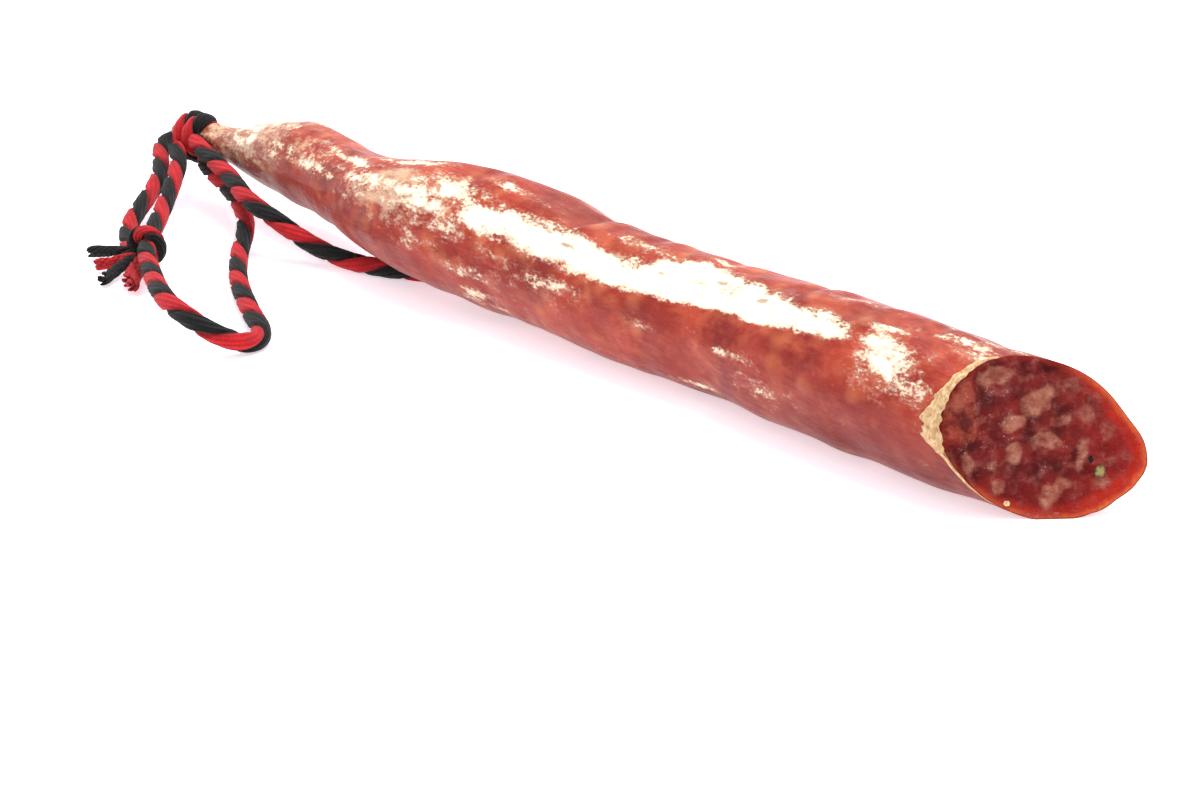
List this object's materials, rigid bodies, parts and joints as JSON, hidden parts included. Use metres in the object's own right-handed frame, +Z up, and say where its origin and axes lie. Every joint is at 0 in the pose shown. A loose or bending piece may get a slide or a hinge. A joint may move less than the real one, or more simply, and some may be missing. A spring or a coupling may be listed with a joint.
{
  "type": "cured sausage",
  "caption": "Long dry-cured sausage with a white-moulded casing, one end cut on the slant, the thin neck tied with a twisted two-colour cord that loops over its front.",
  "frame": {"origin": "middle of the sausage's bounding box at its underside, where its thick end rests", "axes": "+X runs along the sausage from its tied neck to its cut end, +Z is up, -Y is the side the cord loops over"},
  "size_m": [0.3949, 0.1106, 0.0405],
  "materials": {
    "sausage": "dry casing with patches of white mould; the cut face is glossy meat",
    "cord": "twisted cotton, one red ply and one black ply",
    "cord_ply": "frayed cotton plies and knot"
  },
  "bodies": {
    "root": {"sausage": "sausage", "neck_turn_1": "cord", "neck_turn_2": "cord", "cord_to_belly": "cord", "cord_loop": "cord", "cord_to_knot": "cord", "loop_knot": "cord_ply"}
  },
  "joints": []
}
